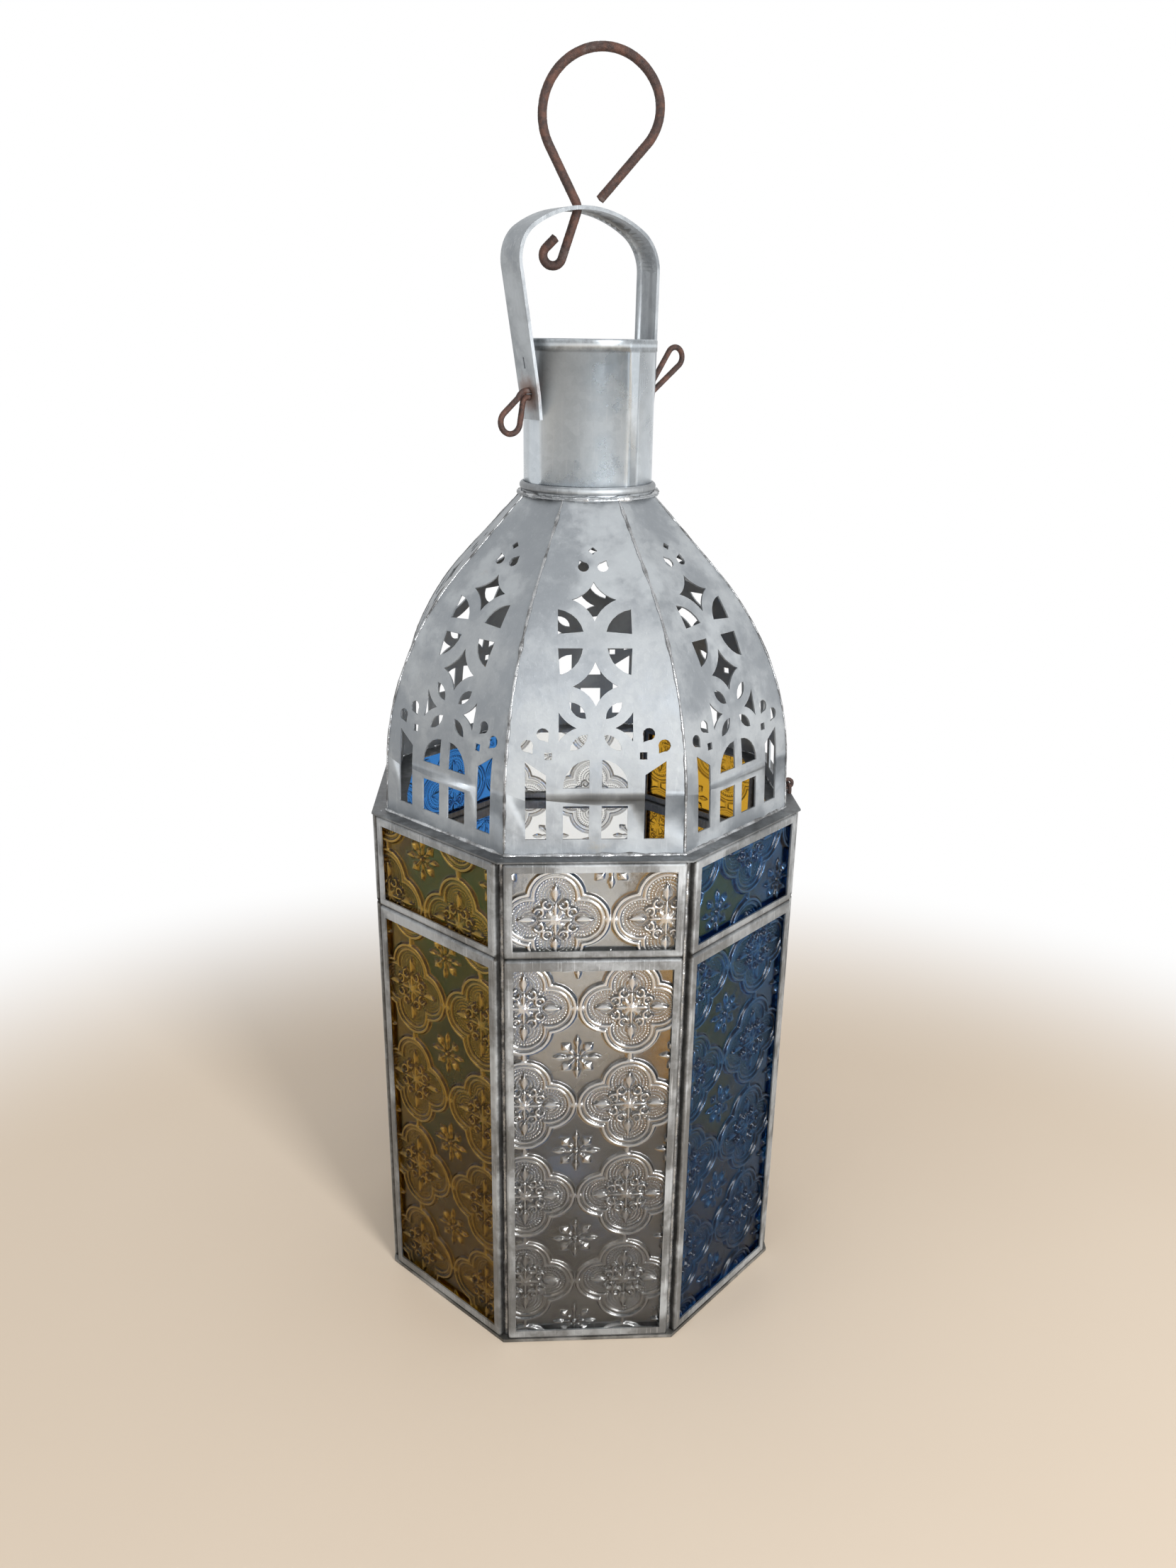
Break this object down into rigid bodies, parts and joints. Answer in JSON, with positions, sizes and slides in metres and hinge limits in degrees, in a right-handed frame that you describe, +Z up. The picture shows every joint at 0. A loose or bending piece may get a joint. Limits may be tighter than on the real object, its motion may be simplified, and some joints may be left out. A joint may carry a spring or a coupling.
{
  "type": "fanous candle lantern",
  "caption": "Eight-sided tin and pressed-glass candle lantern with a pierced dome, chimney, swinging strap handle, wire hanging hook and a hinged glazed door.",
  "frame": {"origin": "middle of the base plate's underside, on the surface it stands on", "axes": "+Z up through the chimney and the hook, -Y towards the front clear pane, +X towards the door"},
  "size_m": [0.1569, 0.1552, 0.447],
  "materials": {
    "zinc_tin": "galvanised tin sheet, grey with a blotchy blue-grey bloom, fine scratches and bright solder",
    "zinc_frame": "folded tin channel, dull grey with darker folds and worn edges",
    "zinc_dome": "pierced tin sheet, matt light grey with faint stains",
    "rusty_wire": "iron wire with dark brown rust",
    "glass_clear": "clear pressed glass with a raised tile pattern",
    "glass_blue": "deep blue pressed glass with a raised tile pattern",
    "glass_amber": "amber pressed glass with a raised tile pattern"
  },
  "bodies": {
    "lantern": {"base_plate": "zinc_tin", "candle_cup": "zinc_tin", "lower_frame_front": "zinc_frame", "lower_frame_front_right": "zinc_frame", "lower_frame_back_right": "zinc_frame", "lower_frame_back": "zinc_frame", "lower_frame_back_left": "zinc_frame", "lower_frame_left": "zinc_frame", "lower_frame_front_left": "zinc_frame", "upper_frame_front": "zinc_frame", "upper_frame_front_right": "zinc_frame", "upper_frame_back_right": "zinc_frame", "upper_frame_back": "zinc_frame", "upper_frame_back_left": "zinc_frame", "upper_frame_left": "zinc_frame", "upper_frame_front_left": "zinc_frame", "lower_glass_front": "glass_clear", "lower_glass_front_right": "glass_blue", "lower_glass_back_right": "glass_amber", "lower_glass_back": "glass_clear", "lower_glass_back_left": "glass_blue", "lower_glass_left": "glass_clear", "lower_glass_front_left": "glass_amber", "upper_glass_front": "glass_clear", "upper_glass_front_right": "glass_blue", "upper_glass_back_right": "glass_amber", "upper_glass_back": "glass_clear", "upper_glass_back_left": "glass_blue", "upper_glass_left": "glass_clear", "upper_glass_front_left": "glass_amber", "ledge": "zinc_tin", "dome_panel_front": "zinc_dome", "dome_panel_front_right": "zinc_dome", "dome_panel_right": "zinc_dome", "dome_panel_back_right": "zinc_dome", "dome_panel_back": "zinc_dome", "dome_panel_back_left": "zinc_dome", "dome_panel_left": "zinc_dome", "dome_panel_front_left": "zinc_dome", "chimney_tube": "zinc_tin", "chimney_collar": "zinc_tin", "handle_pin_left": "rusty_wire", "handle_pin_right": "rusty_wire", "hinge_body_leaf_low": "zinc_frame", "hinge_body_leaf_high": "zinc_frame", "hinge_pin_low": "rusty_wire", "hinge_pin_high": "rusty_wire", "latch_staple": "rusty_wire"},
    "door": {"door_frame": "zinc_frame", "door_glass_lower": "glass_clear", "door_glass_upper": "glass_clear", "hinge_door_leaf_low": "zinc_frame", "hinge_door_leaf_high": "zinc_frame"},
    "latch": {"latch_hook": "rusty_wire"},
    "handle": {"handle_strap": "zinc_tin"},
    "hook": {"hanging_hook": "rusty_wire"}
  },
  "joints": [
    {"name": "door_hinge", "type": "hinge", "parent": "lantern", "child": "door", "pos_m": [0.07761, 0.03214, 0.0827], "axis": [0, 0, 1], "range_deg": [0, 180]},
    {"name": "latch_turn", "type": "hinge", "parent": "lantern", "child": "latch", "pos_m": [0.07701, -0.0115, 0.2022], "axis": [0, -1, 0], "range_deg": [-202, 0]},
    {"name": "handle_swing", "type": "hinge", "parent": "lantern", "child": "handle", "pos_m": [0, 0, 0.34191], "axis": [0.8387, 0.5446, 0], "range_deg": [-120, 120]},
    {"name": "hook_swivel", "type": "hinge", "parent": "handle", "child": "hook", "pos_m": [-0.00473, -0.00307, 0.3996], "axis": [0, 0, 1], "continuous": true}
  ]
}
